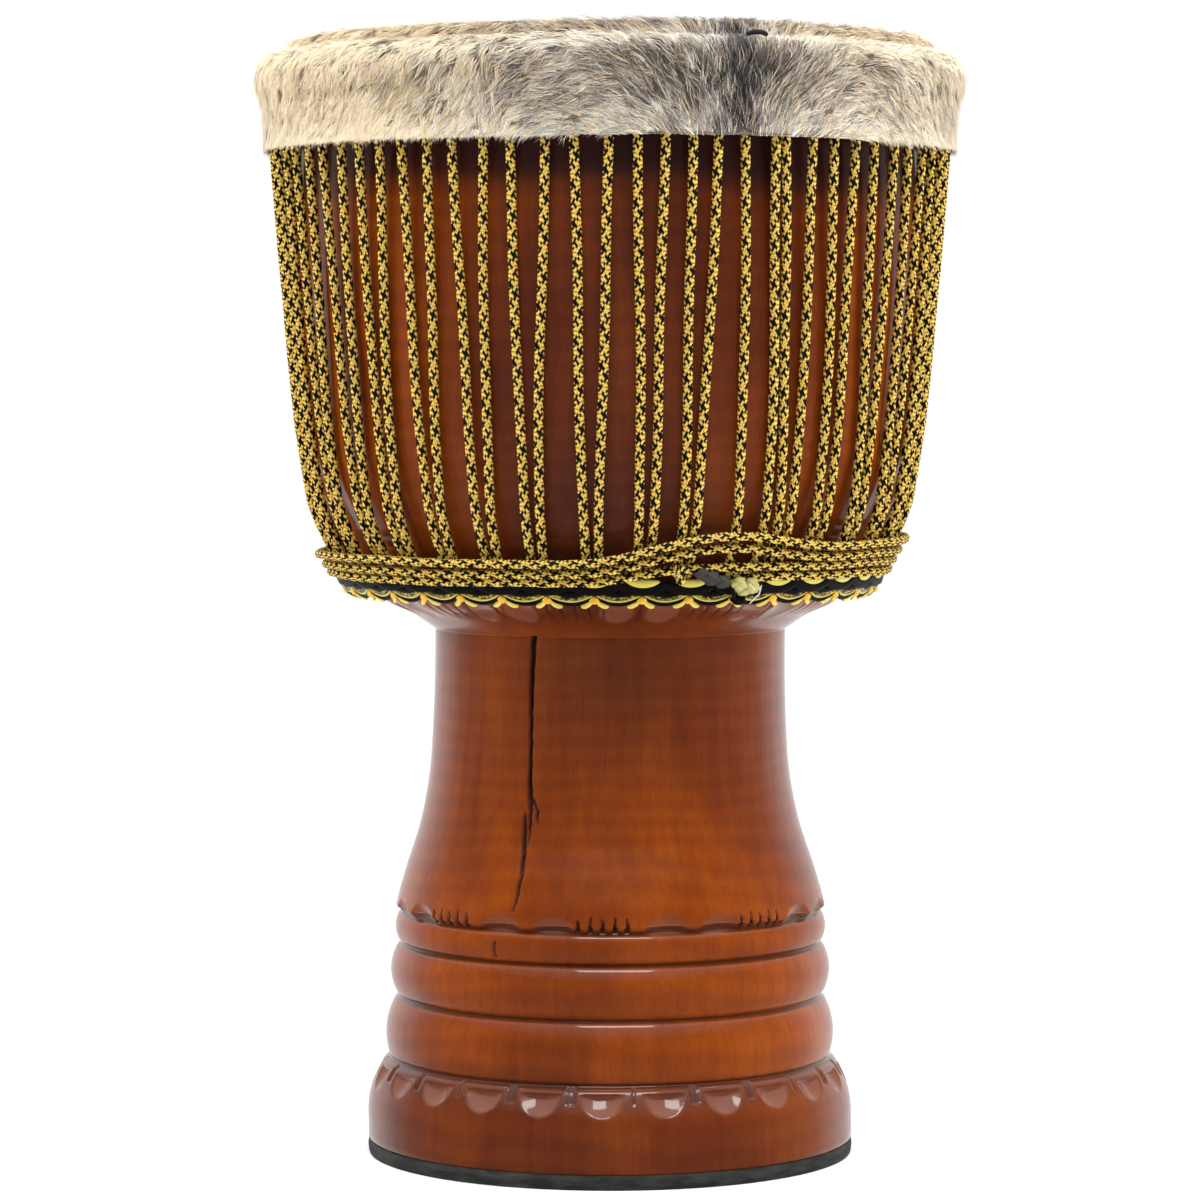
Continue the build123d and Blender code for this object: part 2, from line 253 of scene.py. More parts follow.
def wood_material():
    """Reddish hardwood under thick glossy varnish, grain running up the drum."""
    made, tree, shader = material("varnished_wood", Roughness=0.5, Coat_Weight=0.8,
                                  Coat_Roughness=0.09, Coat_IOR=1.45, Specular_IOR_Level=0.10)
    fine = noise(tree, (1500, 1500, 60), 4.0, 0.6)
    streak = noise(tree, (150, 150, 9), 3.0, 0.5, 0.6)
    cloud = noise(tree, (14, 14, 7), 3.0, 0.5, 0.4)
    # growth rings cut by the round surface give low arches across the stem
    rings = tree.nodes.new("ShaderNodeTexWave")
    rings.bands_direction = "Z"
    for socket, value in (("Vector", stretched(tree, (10, 10, 24))), ("Scale", 1.0),
                          ("Distortion", 16.0), ("Detail", 3.0), ("Detail Scale", 0.35)):
        feed(tree, rings.inputs[socket], value)
    figure = maths(tree, "MULTIPLY_ADD", rings.outputs["Fac"], 0.055,
                   maths(tree, "MULTIPLY_ADD", streak, 0.26, maths(tree, "MULTIPLY", cloud, 0.64)))
    colour = ramp(tree, figure, [(0.34, (0.135, 0.021, 0.0004)), (0.47, (0.190, 0.032, 0.0005)),
                                 (0.59, (0.250, 0.046, 0.0007)), (0.72, (0.310, 0.068, 0.0012))])
    dark_grain = maths(tree, "MULTIPLY", maths(tree, "SUBTRACT", fine, 0.48), 1.5)
    colour = mix(tree, maths(tree, "MAXIMUM", dark_grain, 0.0), colour, (0.05, 0.007, 0.001))
    # darker purple-brown: stain with painted shadow under the collar, painted shadow on the foot's
    # top, painted shade up the front
    colour = mix(tree, layer(tree, "stain_and_shade"), colour, (0.020, 0.0045, 0.005))
    # painted reflection: the carved scallops paled to pinkish brown
    colour = mix(tree, layer(tree, "gouge"), colour, (0.185, 0.058, 0.032))
    # painted shade: the cuts, grooves and crack darkened nearly to black
    colour = mix(tree, layer(tree, "cut"), colour, (0.010, 0.003, 0.002))
    tree.links.new(colour, shader.inputs["Base Color"])
    relief(tree, shader, maths(tree, "MULTIPLY_ADD", fine, 0.4, streak), 0.10, 0.0006)
    return made


def hide_material():
    """The bare head: pale translucent goat skin with a soft darker spine."""
    made, tree, shader = material("bare_hide", Roughness=0.5, Subsurface_Weight=0.15,
                                  Subsurface_Scale=0.004, Sheen_Weight=0.2)
    broad = noise(tree, (16, 11, 16), 4.0, 0.55, 0.5)
    pores = noise(tree, (900, 900, 900), 2.0)
    spine = noise(tree, (3, 22, 3), 3.0, 0.5, 0.3)
    colour = ramp(tree, broad, [(0.30, (0.50, 0.36, 0.22)), (0.52, (0.68, 0.55, 0.38)),
                                (0.72, (0.78, 0.68, 0.52))])
    shade = ramp(tree, spine, [(0.55, (0, 0, 0)), (0.75, (0.45, 0.45, 0.45))])
    colour = mix(tree, shade, colour, (0.40, 0.29, 0.20))
    colour = mix(tree, maths(tree, "MULTIPLY", pores, 0.18), colour, (0.36, 0.25, 0.15))
    tree.links.new(colour, shader.inputs["Base Color"])
    relief(tree, shader, maths(tree, "MULTIPLY_ADD", pores, 0.3, broad), 0.25, 0.001)
    return made


def plain(name, colour, roughness, bump_scale=0.0, **values):
    """One colour, with fine unevenness in its relief where bump_scale is given."""
    made, tree, shader = material(name, colour, Roughness=roughness, **values)
    if bump_scale:
        relief(tree, shader, noise(tree, (bump_scale,) * 3, 3.0), 0.3, 0.0004)
    return made


def rubber_material():
    """Black rubber, greyed by floor dust along its side."""
    made, tree, shader = material("rubber", Roughness=0.75, Specular_IOR_Level=0.3)
    dust = noise(tree, (60, 60, 260), 4.0)
    tree.links.new(ramp(tree, dust, [(0.4, (0.017, 0.018, 0.016)), (0.7, (0.045, 0.047, 0.042))]),
                   shader.inputs["Base Color"])
    relief(tree, shader, noise(tree, (1400,) * 3, 2.0), 0.3, 0.0004)
    return made


def speckled_material():
    """The wound covering of the bottom loops: golden flecks on black."""
    made, tree, shader = material("speckled_cord", Roughness=0.45, Sheen_Weight=0.15)
    flecks = noise(tree, (520, 520, 760), 3.0, 0.6, 0.4)
    tree.links.new(ramp(tree, flecks, [(0.46, (0.006, 0.005, 0.004)), (0.54, (0.30, 0.17, 0.018)),
                                       (0.66, (0.62, 0.46, 0.06))]), shader.inputs["Base Color"])
    relief(tree, shader, flecks, 0.4, 0.0005)
    return made


wood = wood_material()
speckled_cord = speckled_material()
bare_hide = hide_material()
rubber = rubber_material()
black_steel = plain("black_steel", (0.02, 0.02, 0.02), 0.45, 900.0)
golden_yarn = plain("golden_yarn", (0.95, 0.675, 0.14), 0.32, 2200.0, Sheen_Weight=0.35,
                    Sheen_Roughness=0.4, Sheen_Tint=(1.0, 0.9, 0.55, 1))
# painted shade: the darker colour for the yarns' flanks
shaded_yarn = plain("shaded_yarn", (0.40, 0.21, 0.014), 0.5, 2200.0, Specular_IOR_Level=0.25)
black_yarn = plain("black_yarn", (0.0045, 0.0038, 0.003), 0.5, 2200.0, Specular_IOR_Level=0.2)
lime_cord = plain("lime_cord", (0.60, 0.53, 0.065), 0.40, 1800.0, Sheen_Weight=0.2)
black_cord = plain("black_cord", (0.005, 0.0045, 0.004), 0.55, 1800.0, Specular_IOR_Level=0.2)
orange_cord = plain("orange_cord", (0.80, 0.42, 0.018), 0.40, 1800.0, Sheen_Weight=0.2)
pale_cord = plain("pale_cord", (0.74, 0.58, 0.075), 0.40, 1800.0, Sheen_Weight=0.2)
grey_tape = plain("grey_tape", (0.050, 0.046, 0.040), 0.6, 700.0)
melted_cord = plain("melted_cord", (0.50, 0.46, 0.16), 0.28, 500.0, Coat_Weight=0.4)
white_thread = plain("white_thread", (0.8, 0.8, 0.78), 0.5, 2500.0)
black_thread = plain("black_thread", (0.012, 0.012, 0.013), 0.55, 2500.0)

# ---- shell -----------------------------------------------
FOOT_R = 133.5
RUBBER_TOP = 8.0
RUBBER_IN = 117.0       # inner radius of the rubber ring
BEARING_Z = 608.0       # the bearing edge, which the skin is stretched over
BEARING_R = 169.0
GROOVES = (53.6, 87.2, 116.6, 133.6)    # heights of the grooves round the foot's rings
SHELL_COLUMNS = 840
INSIDE_COLUMNS = 210
CARVED_FROM = -2.0      # right of the front: the middle of a scallop and of a group of teeth
SCALLOP_PITCH = 15.0    # 24 scallops round the foot
TEETH_PITCH = 45.0      # 8 groups of teeth round the flare
BOWL_PITCH = 36.0       # 10 groups of cuts under the bowl
BOWL_CARVED_FROM = -8.5
FOOT_EDGE = 53.0        # top of the foot
FLARE_EDGE = 134.0      # lower edge of the flare
CRACK_DEPTH = 2.6


def shell_outline():
    """Outer outline of the wood from the rubber ring to the bearing edge."""
    stretches = [
        line((FOOT_R - 1.0, RUBBER_TOP), (FOOT_R, RUBBER_TOP + 1.0), 2),
        line((FOOT_R, RUBBER_TOP + 1.0), (FOOT_R, 22.0), 4),
        arc((FOOT_R, 22.0), (131.2, 37.6), (124.6, 50.8), 34),
        line((124.6, 50.8), (120.8, 53.6), 3),
        line((120.8, 53.6), (122.0, 55.4), 2),
        arc((122.0, 55.4), (123.6, 66.6), (118.8, 84.8), 22),
        line((118.8, 84.8), (116.2, 87.2), 3),
        line((116.2, 87.2), (118.4, 89.6), 3),
        arc((118.4, 89.6), (121.1, 99.5), (117.6, 114.2), 18),
        line((117.6, 114.2), (115.0, 116.6), 3),
        line((115.0, 116.6), (117.4, 118.6), 3),
        arc((117.4, 118.6), (118.7, 124.4), (117.2, 131.4), 12),
        line((117.2, 131.4), (114.8, 133.6), 3),
        line((114.8, 133.6), (118.2, 136.4), 3),
        curve([(118.2, 136.4), (116.2, 145.5)], 0.7),
        curve([(116.2, 145.5), (112.4, 157.9), (104.4, 182.7), (99.5, 207.6), (97.1, 240.0),
               (96.2, 276.0), (96.2, 287.6)], 2.2),
        line((96.2, 287.6), (95.9, 288.4), 2),
        line((95.9, 288.4), (97.0, 289.4), 2),
        curve([(97.0, 289.4), (108.8, 297.2), (123.6, 304.4), (134.8, 317.2)], 1.1),
        curve([(134.8, 317.2), (147.0, 339.0), (157.8, 361.0), (163.7, 381.0), (168.1, 410.0),
               (172.1, 450.0), (174.9, 490.0), (176.8, 538.0), (175.2, 597.0)], 6.0),
        arc((175.2, 597.0), (173.4, 604.8), (BEARING_R, BEARING_Z), 8),
        np.array([(BEARING_R, BEARING_Z)]),
    ]
    return np.vstack(stretches)


def carving(degrees, radius, height):
    """Depth cut into the wood, painted reflection on the carved facets, and painted shade in the
    cuts.

    Degrees are counted from the front, and each pattern repeats all the way round."""
    across = radius * np.pi / 180
    depth = np.zeros_like(height)
    facet_reflection = np.zeros_like(height)
    dark = np.zeros_like(height)
    # scallops on the top edge of the foot, flat side up, paled as painted reflection
    off = turned(degrees, CARVED_FROM, SCALLOP_PITCH) * across
    scallop = bump(np.hypot(off / 11.4, (height - 48.5) / 11.0)) * (height < 48.6) * (height > 30.0)
    depth += 3.2 * scallop
    facet_reflection += unit(scallop * 4) * 0.75
    # one to three thin chisel ticks between neighbouring scallops, darkened as painted shade
    first_gap = CARVED_FROM + SCALLOP_PITCH / 2
    between = turned(degrees, first_gap, SCALLOP_PITCH)
    count = np.round((degrees - first_gap) / SCALLOP_PITCH).astype(int) % 3
    for tick in (-1, 0, 1):
        shown = (count >= 1) | (tick == 0)
        tick_off = (between - 0.75 * tick * (count >= 1)) * across
        tick_cut = bump(tick_off / 0.75) * (height > 44.5) * (height < 52.5) * shown
        depth += 1.0 * tick_cut
        dark += 0.6 * tick_cut
    # lower edge of the flare: five teeth darkened as painted shade, then two flat arches paled as
    # painted reflection
    for tooth in (-2, -1, 0, 1, 2):
        off = turned(degrees, CARVED_FROM + 3.2 * tooth, TEETH_PITCH) * across
        width = 1.9 * unit(1 - (height - FLARE_EDGE) / 9.0) * (height > FLARE_EDGE - 0.1)
        cut = unit(1 - np.abs(off) / np.maximum(width, 0.01)) * (width > 0)
        depth += 2.4 * cut
        dark += 0.85 * unit(cut * 3)
    for centre in (14.9, 29.9):
        off = turned(degrees, centre, TEETH_PITCH) * across
        cut = bump(np.hypot(off / 12.8, (height - FLARE_EDGE - 0.5) / 8.0))
        cut = cut * (height > FLARE_EDGE + 0.2)
        depth += 3.4 * cut
        facet_reflection += unit(cut * 4) * 0.45
    # underside of the bowl: shallow scallop pairs paled as painted reflection, then ticks darkened
    # as painted shade
    under = (height > 292.0) & (height < 312.0)
    for centre in (10.0, 21.5):
        off = turned(degrees, BOWL_CARVED_FROM + centre, BOWL_PITCH) * across
        cut = bump(np.hypot(off / 9.5, (radius - 121.0) / 13.0)) * under
        depth += 1.2 * cut
        facet_reflection += unit(cut * 4) * 0.7
    for tick in (-2, -1, 0, 1, 2, 4.6):
        off = turned(degrees, BOWL_CARVED_FROM + 3.4 * tick, BOWL_PITCH) * across
        cut = bump(off / 0.8) * under * unit((radius - 111.0) / 5.0)
        depth += 0.9 * cut
        dark += 0.55 * cut
    return depth, unit(facet_reflection), unit(dark)


# the crack in the stem, which forks: height, angle from the front and width, from the top down
CRACK_TOP = [(289.0, -25.1, 2.4), (264.0, -25.8, 2.0), (246.0, -25.9, 1.5), (219.0, -25.8, 1.5),
             (209.0, -25.7, 2.0), (203.0, -25.1, 2.2)]
CRACK_RIGHT = [(203.0, -24.6, 1.5), (196.0, -22.6, 1.0), (189.0, -22.0, 0.5)]
CRACK_MIDDLE = [(203.0, -25.2, 1.4), (190.0, -24.6, 1.3), (179.0, -24.4, 0.5)]
CRACK_LEFT = [(196.0, -26.6, 0.8), (188.0, -26.3, 1.7), (176.0, -25.6, 1.8), (164.0, -25.2, 1.4),
              (155.0, -25.4, 1.0), (144.0, -26.0, 0.6)]
CRACK_RING = [(128.0, -31.2, 0.8), (119.0, -31.0, 0.6)]


def crack_cut(degrees, radius, height):
    """How far inside the crack a point of the shell lies: 1 is its middle."""
    inside = np.zeros_like(height)
    for branch in (CRACK_TOP, CRACK_RIGHT, CRACK_MIDDLE, CRACK_LEFT, CRACK_RING):
        z, angle, width = np.array(branch[::-1]).T
        wander = 0.09 * np.sin(height * 0.55) + 0.07 * np.sin(height * 1.7 + 1.0)
        off = turned(degrees, FRONT + np.interp(height, z, angle) + wander) * radius * np.pi / 180
        reach = np.interp(height, z, width, left=0.0, right=0.0) * 0.75
        near = unit(1.15 - np.abs(off) / np.maximum(reach, 0.01))
        inside = np.maximum(inside, near * (reach > 0.05))
    return inside


def make_shell():
    """The whole shell: carved outside, plain hollow inside."""
    outline = shell_outline()
    along = directions(outline)
    degrees = np.arange(SHELL_COLUMNS) * 360.0 / SHELL_COLUMNS
    grid_r, grid_a = np.meshgrid(outline[:, 0], degrees, indexing="ij")
    grid_z = np.repeat(outline[:, 1][:, None], SHELL_COLUMNS, axis=1)
    depth, facet_reflection, dark = carving(grid_a - FRONT, grid_r, grid_z)
    crack = crack_cut(grid_a, grid_r, grid_z)
    depth = depth + CRACK_DEPTH * crack
    # painted shade inside the crack
    dark = np.maximum(dark, unit(crack * 1.6))
    # painted shade darkens the grooves
    for groove in GROOVES:
        dark = np.maximum(dark, 0.75 * bump((grid_z - groove) / 1.5))
    # below the collar, wavy-edged: stain and painted shadow; on the foot's top edge: painted
    # shadow;
    # up the front of the stem and bowl: painted shade; and the whole foot a little darker
    wave = 3.0 * np.sin(np.radians(grid_a * 2.6)) + 2.0 * np.sin(np.radians(grid_a * 7.3 + 40))
    stain_and_shade = 0.92 * (0.5 - 0.5 * np.cos(np.pi * unit((grid_z - 507.0 + wave) / 30.0)))
    on_foot = grid_z < FOOT_EDGE
    stain_and_shade = np.maximum(stain_and_shade, 0.45 * unit((grid_z - 37.0) / 6.0) * on_foot)
    facing = np.exp(-(turned(grid_a, FRONT) / 40.0) ** 2)
    stain_and_shade = np.maximum(stain_and_shade, 0.48 * unit((grid_z - 170.0) / 90.0) * facing)
    stain_and_shade = np.maximum(stain_and_shade, 0.32 * on_foot)
    # hand-carved wood is a little uneven
    depth = depth + 0.25 * np.sin(np.radians(3 * grid_a + grid_z * 2)) * (grid_z > 20)
    radius = grid_r - depth * along[:, 1][:, None]
    height = grid_z + depth * along[:, 0][:, None]
    outside = polar(radius, grid_a, height).reshape(-1, 3)
    inside_line = np.vstack([
        np.array([(BEARING_R, BEARING_Z), (BEARING_R - 6.0, 602.0)]),
        curve([(BEARING_R - 6.0, 602.0), (162.8, 545.0), (156.4, 436.0), (143.0, 368.0),
               (112.0, 328.0), (76.0, 306.0), (71.0, 285.0), (74.0, 210.0), (90.0, 118.0),
               (RUBBER_IN - 2.0, RUBBER_TOP)], 9.0),
        np.array([(RUBBER_IN - 2.0, RUBBER_TOP), (FOOT_R - 1.0, RUBBER_TOP)]),
    ])
    inside = turned_points(inside_line, INSIDE_COLUMNS)
    faces = np.vstack([grid_faces(len(outline), SHELL_COLUMNS),
                       grid_faces(len(inside_line), INSIDE_COLUMNS, first=len(outside))])
    fill = np.zeros(len(inside))
    return new_mesh("carved_shell", np.vstack([outside, inside]), faces, [wood],
                    layers={"stain_and_shade": np.concatenate([stain_and_shade.ravel(), fill]),
                            "gouge": np.concatenate([facet_reflection.ravel(), fill]),
                            "cut": np.concatenate([dark.ravel(), fill])})


def root_piece(piece, slot, *nodes):
    """Rides a piece on the one body and lets it stand for CAD nodes; slot is not used."""
    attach(piece, "root")
    if nodes:
        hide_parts(*nodes)


shell = make_shell()
root_piece(shell, "shell", "shell")

# ---- cords -----------------------------------------------
PAIRS = 37              # V's of the lacing
PITCH = 360.0 / PAIRS
FIRST_PAIR = FRONT - 5.2
FIRST_SWAG = FRONT - 3.3
# degrees right of even spacing of each V's foot, by its number from the front, and of
# the arch between it and the next
PAIR_LEAN = dict(zip(range(-6, 9), (0.4, 0.9, -0.4, 0.4, 0.8, 0.4, 1.6, 2.0, 0.3, 3.1, 0.5,
                                    -0.5, -0.2, -0.5, -0.3)))
ARCH_LEAN = dict(zip(range(-7, 9), (0.5, 0.9, 1.3, 0.9, 0.9, 1.3, 1.9, 2.4, 1.6, 0.6, -0.6,
                                    -1.8, -2.2, -1.6, -1.0, -0.5)))
WIDE_PAIR = 3
PAIR_R = 150.0          # distance of the V's feet from the axis
ARCH_HALF = 2.2         # degrees from an arch's top to either of its runs
ARCH_R = 183.6
ROPE_STARTS_AT = 4      # the V where the rope's two ends meet
ENDS_HALF = 0.85
ROPE_R = 2.65
WOUND_R = 2.45          # thinner where it is wound tight
CARRIERS = 8            # yarns each way round the braid
ROW_STEP = 1.25
YARN_SUNK = 0.75        # how far the edges of a yarn lie below the rope's surface
YARN_CREST = 0.80       # how far its back stands above them


def around_drum(index):
    """A pair's number, counted both ways from the front."""
    return index if index <= PAIRS // 2 else index - PAIRS


def pair_angle(index):
    """Where two runs of the rope come together at the bottom."""
    return FIRST_PAIR + PITCH * index + PAIR_LEAN.get(around_drum(index), 0.0)


def arch_angle(index):
    """The top of the rope between one pair and the next."""
    return FIRST_PAIR + PITCH * (index + 0.5) + ARCH_LEAN.get(around_drum(index), 0.0)


def even(points, spacing):
    """A path with its points evenly spaced."""
    reach = distances(points)
    at = np.linspace(0, reach[-1], max(int(reach[-1] / spacing), 3) + 1)
    return np.stack([np.interp(at, reach, points[:, k]) for k in range(3)], axis=-1)


def frames(path):
    """At each point of a path, two directions square to it; one faces off the drum."""
    ahead = directions(path)
    out = path * (1, 1, 0)
    out /= np.linalg.norm(out, axis=1)[:, None]
    out = out + np.array([0, 0, -0.2])
    out -= ahead * np.sum(out * ahead, axis=1)[:, None]
    out /= np.linalg.norm(out, axis=1)[:, None]
    return out, np.cross(ahead, out)


def braid(name, slot, path, lengths=1, radius=ROPE_R):
    """Sixteen-plait rope: each diamond of the plait is two yarns with rounded backs."""
    path = even(path, ROW_STEP)
    out, side = frames(path)
    sector = 2 * math.pi / CARRIERS

    def spot(row, share):
        """A corner of a diamond, at the sunk edge of the yarns."""
        turn = share * sector
        return (path[row] + out[row] * (np.cos(turn) * (radius - YARN_SUNK))[:, None]
                + side[row] * (np.sin(turn) * (radius - YARN_SUNK))[:, None])

    row, cell = np.meshgrid(np.arange(len(path) - 2), np.arange(CARRIERS), indexing="ij")
    row, cell = row.ravel(), cell.ravel()
    share = cell + 0.5 * (row % 2)
    bottom = spot(row, share)
    top = spot(row + 2, share)
    left = spot(row + 1, share - 0.5)
    right = spot(row + 1, share + 0.5)
    s_yarn = (cell + (row + 1) // 2) % CARRIERS
    z_yarn = (cell - row // 2) % CARRIERS
    s_on_top = (s_yarn + z_yarn) % 2 == 0
    # the yarn on top runs from the side start-bottom to the side end-top
    start = np.where(s_on_top[:, None], left, right)
    end = np.where(s_on_top[:, None], right, left)
    middle_low = (start + bottom) / 2
    middle_high = (end + top) / 2
    lift = YARN_CREST * (out[row + 1] * np.cos(share * sector)[:, None]
                         + side[row + 1] * np.sin(share * sector)[:, None])
    crest_low = (bottom + end + middle_low + middle_high) / 4 + lift
    crest_high = (start + top + middle_low + middle_high) / 4 + lift
    diamonds = np.stack([bottom, end, middle_high, middle_low, crest_low,
                         middle_low, middle_high, top, start, crest_high], axis=1)
    fans = np.array([[0, 1, 4], [1, 2, 4], [2, 3, 4], [3, 0, 4],
                     [5, 6, 9], [6, 7, 9], [7, 8, 9], [8, 5, 9]])
    black = np.where(s_on_top, np.isin(s_yarn, (0, 1, 4)), np.isin(z_yarn, (1, 2, 5, 6)))
    # a long rope is one object for each stretch of its length
    for number, part in enumerate(np.array_split(np.arange(len(row)), lengths)):
        faces = repeated(fans, len(part), diamonds.shape[1])
        flip = np.repeat(~s_on_top[part], len(fans))
        faces[flip] = faces[flip][:, ::-1]
        # painted shade: a side face of each gold yarn half is darkened, for the gaps between yarns
        flank = np.isin(np.arange(len(fans)), (0, 6))[None] & ~black[part][:, None]
        stretch = new_mesh("%s_%d" % (name, number + 1), diamonds[part].reshape(-1, 3), faces,
                           [golden_yarn, black_yarn, shaded_yarn],
                           pick=(black[part][:, None] + 2 * flank).ravel())
        root_piece(stretch, slot, *([slot] if number == 0 else []))


# a run's distance from the axis and height, over the side of the bowl
RUN = np.array([(148.6, 326.0), (153.2, 334.0), (160.2, 348.0), (164.1, 359.0), (167.7, 381.0),
                (171.0, 403.0), (174.3, 436.0), (177.0, 469.0), (179.0, 490.0), (181.6, 523.0),
                (183.4, 545.0), (183.8, 560.0)])


def pair_half(index):
    """Half the distance between the two runs of a pair at the bottom."""
    return 7.5 if around_drum(index) == WIDE_PAIR else 3.1


def rope_run(index, side):
    """One run of the lacing from the bottom up."""
    low = pair_angle(index) + side * math.degrees(pair_half(index) / PAIR_R)
    arch = arch_angle(index if side > 0 else index - 1)
    high = arch - side * ARCH_HALF
    if index == ROPE_STARTS_AT and side < 0:
        high = arch + ENDS_HALF
    if index == ROPE_STARTS_AT + PAIRS - 1 and side > 0:
        high = arch - ENDS_HALF
    heights = np.arange(RUN[0, 1], RUN[-1, 1], 4.0)
    share = (heights - RUN[0, 1]) / (RUN[-1, 1] - RUN[0, 1])
    slack = 0.22 * np.sin(share * 7 + index * 2.3 + side) * np.sin(share * math.pi)
    radius = np.interp(heights, RUN[:, 1], RUN[:, 0])
    return polar(radius, low + (high - low) * share + slack, heights)


def lacing_path():
    """The lacing's whole route, from one end under the collar to the other."""
    route = []
    for index in range(ROPE_STARTS_AT, ROPE_STARTS_AT + PAIRS):
        down = rope_run(index, -1)[::-1]
        up = rope_run(index, 1)
        half = pair_half(index)
        bend = arc((-half, 0.0), (0.0, -3.6), (half, 0.0), 8)[1:]
        under = polar(RUN[0, 0] + bend[:, 1] * 0.5,
                      pair_angle(index) + np.degrees(bend[:, 0] / PAIR_R), RUN[0, 1] + bend[:, 1])
        route += [down, under, up]
        if index < ROPE_STARTS_AT + PAIRS - 1:
            over = arc((-7.0, 0.0), (0.0, 7.0), (7.0, 0.0), 8)[1:]
            route.append(polar(ARCH_R, arch_angle(index) + np.degrees(over[:, 0] / ARCH_R),
                               RUN[-1, 1] + over[:, 1]))
    return np.vstack(route)


# each turn of the wound rope, from the top: its distance from the axis and height, how
# much higher it lies on the right, its hump over the taped end, and all its degrees
WRAP_LEVELS = np.array([(159.8, 330.2), (156.0, 324.5), (153.2, 320.0), (152.8, 322.2)])
WRAP_RISE = np.array([8.0, 7.8, 7.4, 0.0])
WRAP_HUMP = np.array([6.3, 6.2, 1.3, 0.0])
WRAP_TOTAL = 1233.0


def wrap_path():
    """The wound rope, from behind the drum: three turns, and part of a fourth."""
    going = np.arange(0.0, WRAP_TOTAL, 1.5)
    level = np.minimum(going // 360.0, 3).astype(int)
    share = unit((going - 360.0 * level) / 40.0)
    before = WRAP_LEVELS[np.maximum(level - 1, 0)]
    place = before + (WRAP_LEVELS[level] - before) * share[:, None]
    off = 180.0 - (going - 360.0 * level)
    rise = 1 / (1 + np.exp((5.0 - off) / 4.0))
    fade = 0.5 + 0.5 * np.cos(np.radians(2 * np.maximum(off - 90.0, 0)))
    lift = (WRAP_RISE[level] * rise * fade
            + WRAP_HUMP[level] * np.exp(-((off - 23.0) / 13.0) ** 2)) * share
    uneven = 0.3 * np.sin(np.radians(off * 5 + level * 80)) + 0.2 * np.sin(np.radians(off * 13))
    return polar(place[:, 0] + 0.3 * lift, 90.0 - going, place[:, 1] + lift + uneven)


braid("lacing_braid", "lacing_rope", lacing_path(), lengths=6)
braid("wound_braid", "rope_wraps", wrap_path(), radius=WOUND_R)


def flat_cord(path, width, thickness, taper, round_steps=10):
    """A flattened cord: width lies along the drum's surface, thickness off it."""
    out, side = frames(path)
    turn = np.arange(round_steps) * 2 * math.pi / round_steps
    share = np.linspace(-1, 1, len(path))
    size = (1 - taper * np.abs(share) ** 2.5)[:, None, None]
    points = (path[:, None] + out[:, None] * (np.cos(turn) * thickness / 2)[None, :, None] * size
              + side[:, None] * (np.sin(turn) * width / 2)[None, :, None] * size)
    return points.reshape(-1, 3), grid_faces(len(path), round_steps)


def joined(parts):
    """Several (points, faces) pairs as one."""
    first = 0
    points, faces = [], []
    for some_points, some_faces in parts:
        points.append(some_points)
        faces.append(some_faces + first)
        first += len(some_points)
    return np.vstack(points), np.vstack(faces)


def swag_path(centre, half, low, end, steps=14):
    """A short arc of cord from one side of its unit to the other, sagging in the middle."""
    share = np.linspace(-1, 1, steps)
    radius = low[0] + (end[0] - low[0]) * share**2
    height = low[1] + (end[1] - low[1]) * share**2
    return polar(radius, centre + half * share, height)


def swag_row(shift, half, low, end, width, thickness, taper):
    """One cord shape repeated round the drum: its ends, its lowest point and its section."""
    parts = []
    for unit in range(PAIRS):
        centre = FIRST_SWAG + PITCH * (unit + shift)
        parts.append(flat_cord(swag_path(centre, half, low, end), width, thickness, taper))
    return joined(parts)


def add_cords(name, node, groups):
    """One piece from (points, faces, material) groups, which stands for its CAD node."""
    points, faces = joined([(some_points, some_faces) for some_points, some_faces, _ in groups])
    pick = np.repeat(np.arange(len(groups)), [len(some_faces) for _, some_faces, _ in groups])
    piece = new_mesh(name, points, faces, [look for _, _, look in groups], pick=pick)
    root_piece(piece, node, node)


def lump(radius, right_of_front, height, size, knobs=1.0):
    """A knobbly ball of cord: its place, and its reach off the drum, round it and up."""
    rows, columns = 12, 20
    across, up = np.meshgrid(np.arange(columns) * 360.0 / columns, np.linspace(-90, 90, rows))
    fall = knobs * np.cos(np.radians(up))
    knob = 1 + 0.13 * fall * np.sin(np.radians(across * 3 + up * 4))
    knob = knob + 0.09 * fall * np.sin(np.radians(across * 5 - up * 7 + 50))
    local = polar(np.cos(np.radians(up)) * knob, across, np.sin(np.radians(up)) * knob)
    local = local.reshape(-1, 3) * size
    points = polar(radius + local[:, 0], FRONT + right_of_front + np.degrees(local[:, 1] / radius),
                   height + local[:, 2])
    return points, grid_faces(rows, columns)


def strand(stops, width, thickness, taper=0.15):
    """A short cord through stops of radius, angle right of the front and height."""
    radius, right_of_front, height = np.array(stops).T
    path = polar(radius, FRONT + right_of_front, height)
    fine = np.linspace(0, len(path) - 1, 6 * len(path))
    path = np.stack([np.interp(fine, np.arange(len(path)), path[:, k]) for k in range(3)], axis=-1)
    return flat_cord(path, width, thickness, taper)


def knots():
    """Where each loop leaves the bottom ring, its cords make a small knot."""
    angles = FIRST_SWAG - FRONT + PITCH * np.arange(PAIRS)
    return joined([lump(145.6, angle, 311.4, (1.8, 2.7, 2.5), 0.6) for angle in angles])


def fishtails():
    """Below each knot the cord's two tails splay along the ring."""
    parts = []
    for angle in FIRST_SWAG - FRONT + PITCH * np.arange(PAIRS):
        for side in (-1, 1):
            stops = [(144.4, angle + 0.45 * side, 310.6), (143.0, angle + 1.25 * side, 308.9),
                     (141.6, angle + 2.05 * side, 307.8), (141.0, angle + 2.85 * side, 307.4)]
            parts.append(strand(stops, 3.0, 2.2, 0.55))
    return joined(parts)


